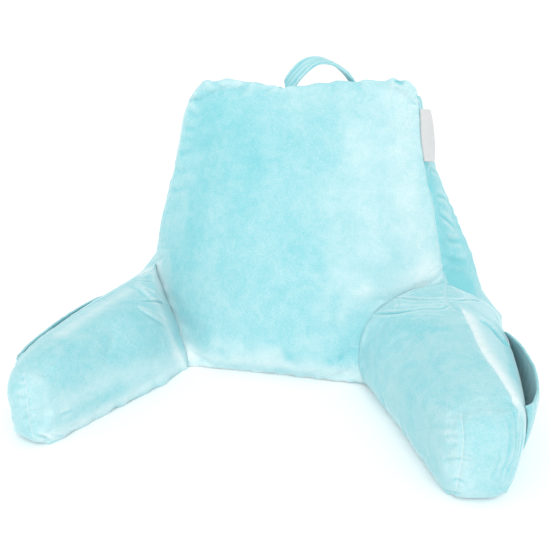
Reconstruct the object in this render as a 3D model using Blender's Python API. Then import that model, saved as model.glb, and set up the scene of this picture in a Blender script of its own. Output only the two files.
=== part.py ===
# Reading pillow with arms: a filled wedge back, two filled arms splayed forward from its
# lower corners, an open pocket on the outer side of each arm, a carrying handle on the top
# and a bare ribbon label in the side seam.  Metres, +Z up, the front faces -Y, and left and
# right are as seen from the front, so the left side is at -X.
# Every soft form is a subdivided cube that a function bends into its shape.  A cube point
# (across, through, up) runs from -1 to 1 in each direction.

import math

import bmesh
import bpy
from mathutils import Matrix, Vector
from mathutils.bvhtree import BVHTree

# ---- driving sizes, metres -------------------------------------------------------------
SEWN_GAP = 0.0003          # between two pieces that are sewn to each other
STITCH_GAP = 0.0008        # under the stitched edges of a pocket and the handle's ends
FRAME_SHIFT = (-0.0145, 0.0234, 0.0)   # from the tables' frame to the middle of the outline

BACK_HEIGHT = 0.445        # top seam at the corners
BACK_CUTS = (              # where the cube is cut, as parts of its half size or height
    (0.93, 0.80, 0.64, 0.48, 0.32, 0.16, 0.0),
    (0.667, 0.333, 0.0),
    (0.03, 0.06, 0.09, 0.113, 0.132, 0.155, 0.19, 0.235, 0.285, 0.335, 0.385, 0.42),
)
TOP_PUFF = 0.006           # crown of the narrow top face
REAR_PUFF = 0.014          # crown of the rear face
TOP_FALL = 0.018           # how much lower the rear top seam lies than the front one
LOW_CROWN = 3.6            # how boxy the front's crown is on the floor, and above the arms
HIGH_CROWN = 2.3
HIP_PLACE = 1 / 3          # where the hip lies on the cube's side, from its middle
HIP_BLEND = 0.07           # above the arm the hip joins the side over this height

ARM_CUTS = (
    (0.82, 0.5, 0.17),
    (0.92, 0.80, 0.64, 0.48, 0.32, 0.16, 0.0),
    (0.75, 0.3),
)
ARM_ROOT_TUCK = 0.05       # the arm's section draws in by this part at its sewn root
ARM_ROOT_SUDDEN = 8        # higher keeps that drawing in closer to the root
ARM_SIT = 0.84             # part of the arm's half height that lies above the flat base
ARM_END_ROUND = 4.5        # higher is a blunter arm end
ARM_BASE_FULL = 6.0        # fullness of the lower half of an arm's section

POCKET_CLOTH = 0.0025
POCKET_CELLS = (12, 7)     # cells along the arm and up
LABEL_CLOTH = 0.0014
HANDLE_WIDTH = 0.032
HANDLE_CLOTH = 0.005

VELOUR_COLOUR = (0.43, 0.78, 0.83)
RIBBON_COLOUR = (0.70, 0.70, 0.70)

# ---- back ------------------------------------------------------------------------------
# Where each arm is sewn on, a flat interface through three points of the right or left side,
# with x measured outward: the inner corner on the floor, the corner where the back's front
# seam meets the arm's top seam, and a low point on the outer side.
SEAM_POINTS = {
    -1: ((0.136, -0.024, 0.000), (0.253, 0.140, 0.125), (0.352, 0.160, 0.036)),
    1: ((0.132, -0.020, 0.000), (0.253, 0.140, 0.125), (0.132, 0.026, 0.100)),
}

# Outlines of the back at rising heights.  rear: half width to the rear side seam, left and
# right.  middle_y: the middle of the crowned front.
BACK_COLUMNS = ("z", "rear_left", "rear_right", "rear_y", "middle_y")
BACK_ROWS = [
    # z,    rear_left, rear_right, rear_y, middle_y
    (0.000, 0.352, 0.354, 0.222, -0.014),
    (0.045, 0.338, 0.342, 0.226, -0.022),
    (0.090, 0.308, 0.318, 0.228, -0.010),
    (0.130, 0.289, 0.306, 0.230, 0.008),
    (0.160, 0.283, 0.297, 0.232, 0.023),
    (0.190, 0.275, 0.283, 0.233, 0.040),
    (0.240, 0.259, 0.257, 0.235, 0.067),
    (0.300, 0.239, 0.228, 0.236, 0.099),
    (0.360, 0.222, 0.209, 0.237, 0.131),
    (0.405, 0.205, 0.201, 0.236, 0.155),
    (0.445, 0.180, 0.188, 0.235, 0.173),
]

# The front side seam above the arms: half width to it, left and right, and how far back.
SEAM_COLUMNS = ("z", "left", "right", "y")
SEAM_ROWS = [
    # z,    left,  right,  y
    (0.131, 0.250, 0.250, 0.145),
    (0.160, 0.253, 0.249, 0.147),
    (0.190, 0.250, 0.242, 0.149),
    (0.240, 0.242, 0.229, 0.153),
    (0.300, 0.228, 0.210, 0.158),
    (0.360, 0.213, 0.196, 0.163),
    (0.405, 0.197, 0.191, 0.168),
    (0.445, 0.177, 0.184, 0.170),
]

# The wavy top seam: how far it lies above the corners' height along x.
TOP_WAVE_COLUMNS = ("x", "rise")
TOP_WAVE_ROWS = [
    # x,      rise
    (-0.180, -0.002),
    (-0.130, 0.003),
    (-0.085, -0.002),
    (-0.030, -0.012),
    (0.030, -0.004),
    (0.070, 0.001),
    (0.125, 0.006),
    (0.158, 0.010),
    (0.180, -0.004),
]

# ---- arms ------------------------------------------------------------------------------
# Sections from the arm's end (along = 0) to its root on the back (along = 1), x outward.
# in_full and out_full: fullness of the section's upper inner and outer quarters.
# lean: how far the inner side leans outward on its way up.
ARM_COLUMNS = ("along", "inner", "outer", "height", "in_full", "out_full", "lean")
ARM_ROWS = {
    -1: [
        (0.00, 0.252, 0.321, 0.120, 2.4, 2.4, 0.000),
        (0.15, 0.237, 0.328, 0.123, 2.4, 2.3, 0.000),
        (0.35, 0.214, 0.339, 0.124, 2.4, 1.9, 0.004),
        (0.60, 0.182, 0.343, 0.123, 2.3, 1.55, 0.012),
        (0.80, 0.156, 0.343, 0.124, 2.1, 1.35, 0.035),
        (1.00, 0.136, 0.346, 0.126, 1.8, 1.2, 0.070),
    ],
    1: [
        (0.00, 0.262, 0.352, 0.128, 2.4, 2.4, 0.000),
        (0.15, 0.246, 0.359, 0.131, 2.5, 2.3, 0.000),
        (0.35, 0.218, 0.362, 0.132, 2.5, 2.0, 0.000),
        (0.60, 0.185, 0.361, 0.133, 2.5, 1.75, 0.000),
        (0.80, 0.158, 0.357, 0.134, 2.5, 1.5, 0.000),
        (1.00, 0.132, 0.352, 0.132, 2.6, 1.25, 0.000),
    ],
}
ARM_END_Y = {-1: -0.303, 1: -0.300}
ARM_END_SLOPE = 0.25       # the end's outer side lies this much further back per metre out

# ---- pockets ---------------------------------------------------------------------------
POCKETS = {
    # side: front y, rear y, mouth height in front, mouth height behind, widest gape
    -1: (-0.215, 0.030, 0.090, 0.094, 0.018),
    1: (-0.232, 0.020, 0.092, 0.100, 0.023),
}
POCKET_FOOT = 0.010        # the pocket's lower edge above the floor
POCKET_RISE = 1.3          # how late the gape opens on its way up
POCKET_ROUND = 0.7         # lower opens the gape sooner from the stitched ends

# ---- handle ----------------------------------------------------------------------------
HANDLE_Y = 0.205
HANDLE_COLUMNS = ("x", "z", "turn")
HANDLE_ROWS = [
    # x,      z,     turn of the strap about its own run, degrees
    (-0.030, 0.446, 42.0),
    (-0.021, 0.459, 38.0),
    (-0.004, 0.470, 24.0),
    (0.018, 0.476, 6.0),
    (0.042, 0.472, -8.0),
    (0.064, 0.459, -18.0),
    (0.081, 0.446, -21.0),
]
HANDLE_TAB = 0.018         # sewn-down length at each end
HANDLE_LAY = -18.0         # turn of the sewn ends, which lie on the top's backward fall
HANDLE_BEND = 0.005        # along x, from a sewn end to the arch
HANDLE_CLEAR = 0.0006      # more room under the sewn ends, where the top is crowned

# ---- label -----------------------------------------------------------------------------
LABEL_TOP = 0.408
LABEL_LENGTH = 0.082
LABEL_WIDTH = 0.016
LABEL_BOW = 0.004          # how much wider it stands out halfway down
LABEL_BEHIND = 0.004       # behind the front seam
LABEL_CURL = 0.003         # how far its free edge curls forward


def value_at(rows, columns, where, name):
    """Read one named column of a table between its rows, on a smooth curve."""
    spot = columns.index(name)
    keys = [row[0] for row in rows]
    values = [row[spot] for row in rows]
    if where <= keys[0]:
        return values[0]
    if where >= keys[-1]:
        return values[-1]
    low = max(index for index, key in enumerate(keys) if key <= where)
    high = low + 1
    span = keys[high] - keys[low]
    before = max(low - 1, 0)
    after = min(high + 1, len(keys) - 1)
    slope_low = (values[high] - values[before]) / (keys[high] - keys[before])
    slope_high = (values[after] - values[low]) / (keys[after] - keys[low])
    t = (where - keys[low]) / span
    return ((2 * t**3 - 3 * t**2 + 1) * values[low]
            + (t**3 - 2 * t**2 + t) * span * slope_low
            + (-2 * t**3 + 3 * t**2) * values[high]
            + (t**3 - t**2) * span * slope_high)


def mix(low, high, part):
    return low + (high - low) * part


def seam_plane(side):
    """A point and the unit normal, pointing into the back, of an arm's sewn interface."""
    first, second, third = (Vector((side * x, y, z)) for x, y, z in SEAM_POINTS[side])
    normal = (second - first).cross(third - first).normalized()
    if normal.y < 0:
        normal.negate()
    return first, normal


def seam_y(side, x, z, into_back):
    """Where the interface lies in y, moved by half the sewn gap to the back or the arm."""
    point, normal = seam_plane(side)
    shift = SEWN_GAP / 2 if into_back else -SEWN_GAP / 2
    reach = normal.dot(point) + shift - normal.x * x - normal.z * z
    return reach / normal.y


def material(name, colour, roughness):
    made = bpy.data.materials.new(name)
    made.use_nodes = True
    shader = made.node_tree.nodes["Principled BSDF"]
    shader.inputs["Base Color"].default_value = (*colour, 1.0)
    shader.inputs["Roughness"].default_value = roughness
    shader.inputs["Metallic"].default_value = 0.0
    return made


def cube_grid(cuts):
    """A closed cube from -1 to 1, cut at the given places across, through and up."""
    grid = bmesh.new()
    bmesh.ops.create_cube(grid, size=2.0)
    for axis, places in enumerate(cuts):
        normal = Vector([1.0 if other == axis else 0.0 for other in range(3)])
        for place in places:
            bmesh.ops.bisect_plane(grid, geom=grid.verts[:] + grid.edges[:] + grid.faces[:],
                                   plane_co=normal * place, plane_no=normal, dist=1e-6)
    return grid


def both_ways(places):
    """The places and their mirror images about the middle, each once."""
    return sorted({*places, *(-place for place in places)})


def to_object(name, grid, finish, smooth=True):
    bmesh.ops.recalc_face_normals(grid, faces=grid.faces[:])
    if grid.calc_volume(signed=True) < 0:
        bmesh.ops.reverse_faces(grid, faces=grid.faces[:])
    mesh = bpy.data.meshes.new(name)
    grid.to_mesh(mesh)
    grid.free()
    made = bpy.data.objects.new(name, mesh)
    bpy.context.collection.objects.link(made)
    mesh.materials.append(finish)
    if smooth:
        mesh.shade_smooth()
    return made


def section_point(side, along, sideways, upward):
    """A point of an arm's section, from places on the section's own rounded outline."""
    rows = ARM_ROWS[side]
    inner = value_at(rows, ARM_COLUMNS, along, "inner")
    outer = value_at(rows, ARM_COLUMNS, along, "outer")
    lean = value_at(rows, ARM_COLUMNS, along, "lean")
    height = value_at(rows, ARM_COLUMNS, along, "height")
    leant = lean * max(-sideways, 0.0) * (upward + ARM_SIT) / (1 + ARM_SIT)
    x = (inner + outer) / 2 + sideways * (outer - inner) / 2 + leant
    z = max(height * (upward + ARM_SIT) / (1 + ARM_SIT), 0.0)
    return side * x, z


def root_half(side, z, inner):
    """Half width of the back, at one height, to the inner or outer edge of an arm's root."""
    height = value_at(ARM_ROWS[side], ARM_COLUMNS, 1.0, "height")
    upward = z / height * (1 + ARM_SIT) - ARM_SIT
    upward = min(max(upward, -1.0), 1.0)
    full = ARM_BASE_FULL
    if upward > 0:
        full = value_at(ARM_ROWS[side], ARM_COLUMNS, 1.0, "in_full" if inner else "out_full")
    sideways = (1 - abs(upward)**full) ** (1 / full)
    x, _ = section_point(side, 1.0, -sideways if inner else sideways, upward)
    return abs(x)


def back_point(across, through, up):
    """The back's shape: its crowned front, side gussets, rear, top and flat base."""
    side = -1 if across < 0 else 1
    word = "left" if side < 0 else "right"
    z = BACK_HEIGHT * (up + 1) / 2
    rear_half = value_at(BACK_ROWS, BACK_COLUMNS, z, "rear_" + word)
    rear_y = value_at(BACK_ROWS, BACK_COLUMNS, z, "rear_y")
    middle_y = value_at(BACK_ROWS, BACK_COLUMNS, z, "middle_y")

    # the side runs from the front seam over the hip, where the arm ends, to the rear seam
    root_height = ARM_ROWS[side][-1][3]
    if z < root_height:
        front_half = root_half(side, z, True)
        front_y = seam_y(side, side * front_half, z, True)
        hip_half = root_half(side, z, False)
        hip_y = seam_y(side, side * hip_half, z, True)
    else:
        front_half = value_at(SEAM_ROWS, SEAM_COLUMNS, z, word)
        front_y = value_at(SEAM_ROWS, SEAM_COLUMNS, z, "y")
        hip_part = min(1.0, (z - root_height) / HIP_BLEND) * HIP_PLACE
        hip_half = mix(front_half, rear_half, hip_part)
        hip_y = mix(front_y, rear_y, hip_part)
    if through < HIP_PLACE:
        part = (through + 1) / (HIP_PLACE + 1)
        half = mix(front_half, hip_half, part)
        side_y = mix(front_y, hip_y, part)
    else:
        part = (through - HIP_PLACE) / (1 - HIP_PLACE)
        half = mix(hip_half, rear_half, part)
        side_y = mix(hip_y, rear_y, part)

    bow = abs(across) ** mix(LOW_CROWN, HIGH_CROWN, min(z / root_height, 1.0))
    front_here = mix(middle_y, front_y, bow)
    rear_here = rear_y + REAR_PUFF * (1 - across**2) * (1 - up**2)
    x = across * half
    y = mix(front_here, rear_here, (side_y - front_y) / (rear_y - front_y))

    rise = value_at(TOP_WAVE_ROWS, TOP_WAVE_COLUMNS, x, "rise")
    fall = TOP_FALL * (through + 1) / 2
    puff = TOP_PUFF * (1 - across**4) * (1 - through**2)
    lift = (up + 1) / 2
    return Vector((x, y, z + (rise - fall + puff) * lift**3))


def arm_point(side, across, through, up):
    """An arm: across runs outward, through from the end (-1) to the root (1) on the back."""
    reach = max(abs(across), abs(up))
    toward_end = max(-through, 0.0)
    size = (reach**ARM_END_ROUND + toward_end**ARM_END_ROUND) ** (1 / ARM_END_ROUND)
    shrink = max(reach, toward_end) / size
    along = (through * (shrink if through < 0 else 1.0) + 1) / 2
    if through > 0:
        shrink = 1 - ARM_ROOT_TUCK * through**ARM_ROOT_SUDDEN

    full = ARM_BASE_FULL
    if up > 0:
        name = "in_full" if across < 0 else "out_full"
        full = value_at(ARM_ROWS[side], ARM_COLUMNS, along, name)
    spread = (abs(across)**full + abs(up)**full) ** (1 / full)
    scale = reach / spread * shrink if spread > 0 else 0.0

    x, z = section_point(side, along, across * scale, up * scale)
    end_y = ARM_END_Y[side] + ARM_END_SLOPE * (abs(x) - ARM_ROWS[side][0][1])
    y = mix(end_y, seam_y(side, x, z, False), along)
    return Vector((x, y, z))


def shaped(name, cuts, point, finish):
    """A cube cut at its places and bent into shape, its seams softened by one subdivision."""
    grid = cube_grid(cuts)
    for vert in grid.verts:
        vert.co = point(*vert.co)
    made = to_object(name, grid, finish)
    softened = made.modifiers.new("Stuffed", "SUBSURF")
    softened.levels = 1
    softened.render_levels = 1
    return made


def surface_of(made):
    """The finished surface of a piece, for what is sewn on it."""
    bpy.context.view_layer.update()
    return BVHTree.FromObject(made, bpy.context.evaluated_depsgraph_get())


def sheet_between(name, columns, rows, point, finish):
    """A closed cloth sheet: a grid of inner points and one of outer points, rimmed."""
    grid = bmesh.new()
    bmesh.ops.create_grid(grid, x_segments=columns, y_segments=rows, size=1.0)
    inner_faces = grid.faces[:]
    places = {vert: tuple(vert.co) for vert in grid.verts}
    copied = bmesh.ops.duplicate(grid, geom=grid.verts[:] + grid.edges[:] + inner_faces)
    twins = {old: new for old, new in copied["vert_map"].items() if old in places}
    rims = [edge for edge in grid.edges if edge.is_boundary]
    for old, (u, v, _) in places.items():
        old.co = point((u + 1) / 2, (v + 1) / 2, 0.0)
        twins[old].co = point((u + 1) / 2, (v + 1) / 2, 1.0)
    bmesh.ops.bridge_loops(grid, edges=rims)
    return to_object(name, grid, finish)


def pocket(side, arm, finish):
    """A patch pocket sewn along its foot and both ends, its mouth gaping from the arm."""
    front, rear, mouth_front, mouth_rear, gape = POCKETS[side]
    arm_surface = surface_of(arm)

    def point(along, up, outer):
        y = mix(front, rear, along)
        z = mix(POCKET_FOOT, mix(mouth_front, mouth_rear, along), up)
        start = Vector((side * 1.0, y, z))
        place, normal, _, _ = arm_surface.ray_cast(start, Vector((-side, 0.0, 0.0)))
        open_here = gape * math.sin(math.pi * along) ** POCKET_ROUND * up**POCKET_RISE
        away = STITCH_GAP + open_here + POCKET_CLOTH * outer
        lean = Vector((side, 0.0, 0.0)).lerp(normal, 0.5).normalized()
        return place + lean * away

    name = "pocket_right" if side > 0 else "pocket_left"
    return sheet_between(name, *POCKET_CELLS, point, finish)


def handle(back, finish):
    """A soft strap that stands up in an arch, its ends sewn flat on the back's top."""
    back_surface = surface_of(back)

    def on_top(x, lift):
        place, _, _, _ = back_surface.ray_cast(Vector((x, HANDLE_Y, 1.0)), Vector((0, 0, -1)))
        return Vector((x, HANDLE_Y, place.z + lift))

    first_x = HANDLE_ROWS[0][0]
    last_x = HANDLE_ROWS[-1][0]
    seat = STITCH_GAP + HANDLE_CLOTH / 2 + HANDLE_CLEAR
    run = [(Vector((x, HANDLE_Y, z)), turn) for x, z, turn in HANDLE_ROWS]
    for reach in (HANDLE_BEND, HANDLE_BEND + HANDLE_TAB):
        run.insert(0, (on_top(first_x - reach, seat), HANDLE_LAY))
        run.append((on_top(last_x + reach, seat), HANDLE_LAY))
    return strap("handle", run, HANDLE_WIDTH, HANDLE_CLOTH, finish)


def strap(name, run, width, cloth, finish):
    """A flat band through the points of a run, each with a turn about its direction."""
    grid = bmesh.new()
    loops = []
    profile = [(-0.5, -0.30), (-0.42, -0.5), (0.42, -0.5), (0.5, -0.30),
               (0.5, 0.30), (0.42, 0.5), (-0.42, 0.5), (-0.5, 0.30)]
    for index, (place, turn) in enumerate(run):
        before = run[max(index - 1, 0)][0]
        after = run[min(index + 1, len(run) - 1)][0]
        forward = (after - before).normalized()
        twist = Matrix.Rotation(math.radians(turn), 3, forward)
        sideways = twist @ Vector((0.0, 1.0, 0.0))
        upward = forward.cross(sideways).normalized() * -1
        ring = [grid.verts.new(place + sideways * width * s + upward * cloth * u)
                for s, u in profile]
        edges = [grid.edges.new((ring[spot - 1], ring[spot])) for spot in range(len(ring))]
        loops.append(edges)
    for near, far in zip(loops, loops[1:]):
        bmesh.ops.bridge_loops(grid, edges=near + far)
    bmesh.ops.holes_fill(grid, edges=loops[0] + loops[-1], sides=len(profile))
    return to_object(name, grid, finish)


def label(back, finish):
    """A folded ribbon held in the right front seam, bare, standing out from it."""
    back_surface = surface_of(back)

    def point(along, out, outer):
        z = LABEL_TOP - LABEL_LENGTH * along
        y = value_at(SEAM_ROWS, SEAM_COLUMNS, z, "y") + LABEL_BEHIND
        place, _, _, _ = back_surface.ray_cast(Vector((1.0, y, z)), Vector((-1, 0, 0)))
        bow = LABEL_BOW * math.sin(math.pi * along)
        x = place.x + STITCH_GAP + (LABEL_WIDTH + bow) * out
        thick = LABEL_CLOTH * (outer - 0.5)
        return Vector((x, y + thick - LABEL_CURL * out**2, z))

    return sheet_between("label", 9, 3, point, finish)


def build():
    for old in list(bpy.data.objects):
        bpy.data.objects.remove(old, do_unlink=True)

    velour = {name: material(name, VELOUR_COLOUR, 0.9)
              for name in ("back_velour", "arm_left_velour", "arm_right_velour",
                           "pocket_left_velour", "pocket_right_velour", "handle_velour")}
    ribbon = material("label_ribbon", RIBBON_COLOUR, 0.7)

    back_cuts = [both_ways(BACK_CUTS[0]), both_ways(BACK_CUTS[1]),
                 [2 * z / BACK_HEIGHT - 1 for z in BACK_CUTS[2]]]
    back = shaped("back", back_cuts, back_point, velour["back_velour"])
    arm_cuts = [both_ways(places) for places in ARM_CUTS]
    for side, word in ((-1, "left"), (1, "right")):
        def point(across, through, up, side=side):
            return arm_point(side, across, through, up)
        arm = shaped("arm_" + word, arm_cuts, point, velour["arm_" + word + "_velour"])
        pocket(side, arm, velour["pocket_" + word + "_velour"])
    handle(back, velour["handle_velour"])
    label(back, ribbon)
    for made in bpy.data.objects:
        made.data.transform(Matrix.Translation(FRAME_SHIFT))


build()
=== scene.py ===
import math

import bmesh
import bpy
import numpy as np
from mathutils import Euler, Matrix, Vector
from mathutils.bvhtree import BVHTree
from mathutils.kdtree import KDTree


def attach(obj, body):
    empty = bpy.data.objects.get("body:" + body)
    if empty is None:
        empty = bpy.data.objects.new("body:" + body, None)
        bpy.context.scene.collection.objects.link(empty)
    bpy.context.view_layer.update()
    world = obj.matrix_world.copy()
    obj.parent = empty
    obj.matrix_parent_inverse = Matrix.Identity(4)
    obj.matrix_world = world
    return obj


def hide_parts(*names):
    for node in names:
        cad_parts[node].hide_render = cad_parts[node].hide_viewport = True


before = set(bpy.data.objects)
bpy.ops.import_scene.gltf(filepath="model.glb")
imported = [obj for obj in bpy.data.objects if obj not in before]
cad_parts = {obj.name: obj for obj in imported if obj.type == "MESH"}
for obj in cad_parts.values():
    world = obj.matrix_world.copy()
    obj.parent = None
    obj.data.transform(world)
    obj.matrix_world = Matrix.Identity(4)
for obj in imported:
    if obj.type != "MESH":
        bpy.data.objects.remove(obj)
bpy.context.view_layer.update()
scene = bpy.context.scene
print("frame loaded:", sorted(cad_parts))

# A stuffed reading pillow in aqua velour. Metres; the front faces -Y, and left and right are
# as seen from the front. Creases and seams that show are placed by pixels of the reference
# picture, which is 550 wide and high, and are pressed into the cloth where the camera's ray
# through that pixel meets it.

pictureSize = 550
mm = 0.001

camera = {
    "place": (0.2326, -1.0274, 0.5650),
    "turn": 13.23,             # degrees, towards the pillow's left
    "down": 20.0,              # degrees
    "lens": 48.71,
    "sensor": 36.0,
    "shift": (-0.0070, -0.0004),
}
cameraTurn = Euler((math.radians(90 - camera["down"]), 0, math.radians(camera["turn"])))


def makeCamera():
    data = bpy.data.cameras.new("camera")
    data.lens = camera["lens"]
    data.sensor_width = camera["sensor"]
    data.shift_x, data.shift_y = camera["shift"]
    made = bpy.data.objects.new("camera", data)
    made.location = camera["place"]
    made.rotation_euler = cameraTurn
    scene.collection.objects.link(made)
    scene.camera = made


def pixelRay(px, py):
    # where the camera stands, and the direction in which it sees a pixel
    across = px / pictureSize - 0.5 + camera["shift"][0]
    up = 0.5 - py / pictureSize + camera["shift"][1]
    size = camera["sensor"] / camera["lens"]
    aim = Vector((across * size, up * size, -1))
    aim.rotate(cameraTurn)
    return Vector(camera["place"]), aim.normalized()


makeCamera()

# The pillow's cut has the same sizes as its solids, worked out finer. Its x is measured from
# the tables' own middle, which frameShift puts in the frame's; -1 is the left side, 1 the right.

frameShift = Vector((-0.0145, 0.0234, 0.0))
shiftArray = np.array(frameShift)

cut = {
    "height": 0.443,           # top seam at the corners
    "topPuff": 0.004,
    "rearPuff": 0.014,
    "topFall": 0.018,          # how much lower the top's rear seam is
    "lowCrown": 3.6,           # how squarely the front turns to its seams at the floor
    "highCrown": 2.3,          # the same above the arms
    "hipPlace": 1 / 3,         # where a side bends over the hip, from -1 in front to 1 behind
    "hipBlend": 0.07,          # height over which that bend fades above an arm
    "armSit": 0.84,            # how much of an arm's lower half stands above the floor
    "armEndRound": 5.2,        # how square an arm's front end is
    "armBaseFull": 4.2,        # how square the lower half of its section is
    "armDrawn": {-1: 0.03, 1: 0.10},   # how much narrower its end is before air plumps it
    "armEndY": {-1: -0.296, 1: -0.285},
    "armEndSlope": {-1: 0.38, 1: 0.25},
    "rootFlare": {-1: 0.000, 1: 0.007},   # how far its inner side spreads over the back
    "flareFrom": 0.8,          # where along the arm that starts
    "baseTuck": 0.014,         # how far the rear tucks in at the floor
    "frontTuck": 0.5,          # the part of this by which the front does
    "baseTuckHeight": 0.035,
    "backDrawn": 0.012,        # how much narrower the back is before air plumps it
    "frontDrawn": 0.004,       # how much further back its front is
    "drawnBlend": 0.05,
    "sewnGap": 0.3 * mm,
}

# where each arm is sewn to the back: three points of a plane, x outward
seamPoints = {
    -1: ((0.136, -0.024, 0.000), (0.253, 0.140, 0.125), (0.352, 0.160, 0.036)),
    1: ((0.132, -0.020, 0.000), (0.253, 0.140, 0.125), (0.132, 0.026, 0.100)),
}

# half widths on the left and on the right, and y, by height
backTable = {
    "z": (0.000, 0.045, 0.090, 0.130, 0.160, 0.190, 0.240, 0.300, 0.360, 0.405, 0.445),
    "left": (0.352, 0.338, 0.308, 0.291, 0.284, 0.277, 0.261, 0.240, 0.224, 0.208, 0.176),
    "right": (0.354, 0.342, 0.318, 0.306, 0.297, 0.283, 0.257, 0.228, 0.209, 0.199, 0.184),
    "rearY": (0.222, 0.226, 0.228, 0.230, 0.232, 0.233, 0.235, 0.236, 0.237, 0.236, 0.235),
    "middleY": (-0.014, -0.022, -0.010, 0.008, 0.023, 0.040, 0.067, 0.099, 0.131, 0.155, 0.173),
}
seamTable = {
    "z": (0.131, 0.160, 0.190, 0.240, 0.300, 0.360, 0.405, 0.445),
    "left": (0.264, 0.259, 0.255, 0.243, 0.227, 0.215, 0.203, 0.173),
    "right": (0.250, 0.249, 0.242, 0.229, 0.210, 0.196, 0.191, 0.184),
    "y": (0.145, 0.147, 0.149, 0.153, 0.158, 0.163, 0.168, 0.170),
}
topTable = {
    "x": (-0.180, -0.130, -0.085, -0.030, 0.030, 0.070, 0.125, 0.158, 0.180),
    "rise": (0.000, 0.003, -0.001, -0.008, 0.001, 0.0045, 0.0075, 0.0095, 0.0005),
}
armPlaces = (0.00, 0.15, 0.35, 0.60, 0.80, 1.00)
upright = (0.0,) * len(armPlaces)   # the right arm doesn't lean
armTable = {
    -1: {
        "along": armPlaces,
        "inner": (0.252, 0.235, 0.210, 0.176, 0.152, 0.137),
        "outer": (0.330, 0.335, 0.340, 0.343, 0.343, 0.346),
        "height": (0.120, 0.123, 0.124, 0.122, 0.121, 0.122),
        "inFull": (2.4, 2.4, 2.4, 2.3, 1.9, 1.4),
        "outFull": (2.4, 2.3, 1.9, 1.50, 1.28, 1.12),
        "lean": (0.000, 0.000, 0.004, 0.014, 0.060, 0.126),
        "crest": (0.000, 0.000, 0.000, 0.004, 0.010, 0.022),
    },
    1: {
        "along": armPlaces,
        "inner": (0.262, 0.242, 0.212, 0.179, 0.154, 0.135),
        "outer": (0.358, 0.367, 0.368, 0.363, 0.357, 0.352),
        "height": (0.128, 0.131, 0.132, 0.132, 0.132, 0.131),
        "inFull": (2.4, 2.5, 2.5, 2.5, 2.5, 2.6),
        "outFull": (2.4, 2.3, 2.0, 1.66, 1.36, 1.13),
        "lean": upright,
        "crest": upright,
    },
}
sideWord = {-1: "left", 1: "right"}
rootHeight = {side: table["height"][-1] for side, table in armTable.items()}


def valueAt(table, name, where):
    # read one named column of a table, on a smooth curve through its rows
    keys = np.array(next(iter(table.values())), float)
    values = np.array(table[name], float)
    where = np.asarray(where, float)
    low = np.clip(np.searchsorted(keys, where, side="right") - 1, 0, len(keys) - 2)
    high = low + 1
    before = np.maximum(low - 1, 0)
    after = np.minimum(high + 1, len(keys) - 1)
    span = keys[high] - keys[low]
    slopeLow = (values[high] - values[before]) / (keys[high] - keys[before])
    slopeHigh = (values[after] - values[low]) / (keys[after] - keys[low])
    t = np.clip((where - keys[low]) / span, 0, 1)
    return ((2 * t**3 - 3 * t**2 + 1) * values[low] + (t**3 - 2 * t**2 + t) * span * slopeLow
            + (3 * t**2 - 2 * t**3) * values[high] + (t**3 - t**2) * span * slopeHigh)


def mix(low, high, part):
    return low + (high - low) * part


def seamPlane(side):
    first, second, third = (Vector((side * x, y, z)) for x, y, z in seamPoints[side])
    normal = (second - first).cross(third - first).normalized()
    return first, normal if normal.y > 0 else -normal


def seamY(side, x, z, gap):
    # where an arm's interface lies in y, moved by a gap into the back or out of it
    point, normal = seamPlane(side)
    return (normal.dot(point) + gap - normal.x * x - normal.z * z) / normal.y


def armSection(side, along, sideways, upward):
    # a point of an arm's section, from places on the section's own rounded outline
    table = armTable[side]
    inner = valueAt(table, "inner", along)
    outer = valueAt(table, "outer", along)
    lift = (upward + cut["armSit"]) / (1 + cut["armSit"])
    inward = np.maximum(-sideways, 0)
    leant = lift * (valueAt(table, "lean", along) * inward
                    + valueAt(table, "crest", along) * (1 - np.abs(sideways)))
    # it spreads over the back just before its root, most at half its height
    flared = np.clip((along - cut["flareFrom"]) / (1 - cut["flareFrom"]), 0, 1)
    flare = cut["rootFlare"][side] * flared**2.5 * inward
    x = (inner + outer) / 2 + sideways * (outer - inner) / 2 + leant - flare * 4 * lift * (1 - lift)
    return side * x, np.maximum(valueAt(table, "height", along) * lift, (1 + upward) * 0.3 * mm)


def rootOutline(side, upward, full):
    # how far sideways an arm's root reaches at a place up its section, 1 being its full width
    power = np.where(upward > 0, armTable[side][full][-1], cut["armBaseFull"])
    return (1 - np.abs(upward) ** power) ** (1 / power)


def rootHalf(side, z, full):
    # half width of the back, at one height, to the inner or outer edge of an arm's root
    upward = np.clip(z / rootHeight[side] * (1 + cut["armSit"]) - cut["armSit"], -1, 1)
    sideways = rootOutline(side, upward, full)
    x, _ = armSection(side, 1.0, -sideways if full == "inFull" else sideways, upward)
    return np.abs(x)


def backHalf(side, through, z):
    # the side of the back: half width and y, from the front seam over the hip to the rear
    word = sideWord[side]
    rearHalf = valueAt(backTable, word, z)
    rearY = valueAt(backTable, "rearY", z)
    low = z < rootHeight[side]
    frontHalf = np.where(low, rootHalf(side, z, "inFull"), valueAt(seamTable, word, z))
    gap = cut["sewnGap"] / 2
    frontY = np.where(low, seamY(side, side * frontHalf, z, gap), valueAt(seamTable, "y", z))
    hipPart = np.clip((z - rootHeight[side]) / cut["hipBlend"], 0, 1) * cut["hipPlace"]
    hipHalf = np.where(low, rootHalf(side, z, "outFull"), mix(frontHalf, rearHalf, hipPart))
    hipY = np.where(low, seamY(side, side * hipHalf, z, gap), mix(frontY, rearY, hipPart))
    first = (through + 1) / (cut["hipPlace"] + 1)
    second = (through - cut["hipPlace"]) / (1 - cut["hipPlace"])
    before = through < cut["hipPlace"]
    half = np.where(before, mix(frontHalf, hipHalf, first), mix(hipHalf, rearHalf, second))
    sideY = np.where(before, mix(frontY, hipY, first), mix(hipY, rearY, second))
    return half, sideY, frontY, rearY


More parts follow.
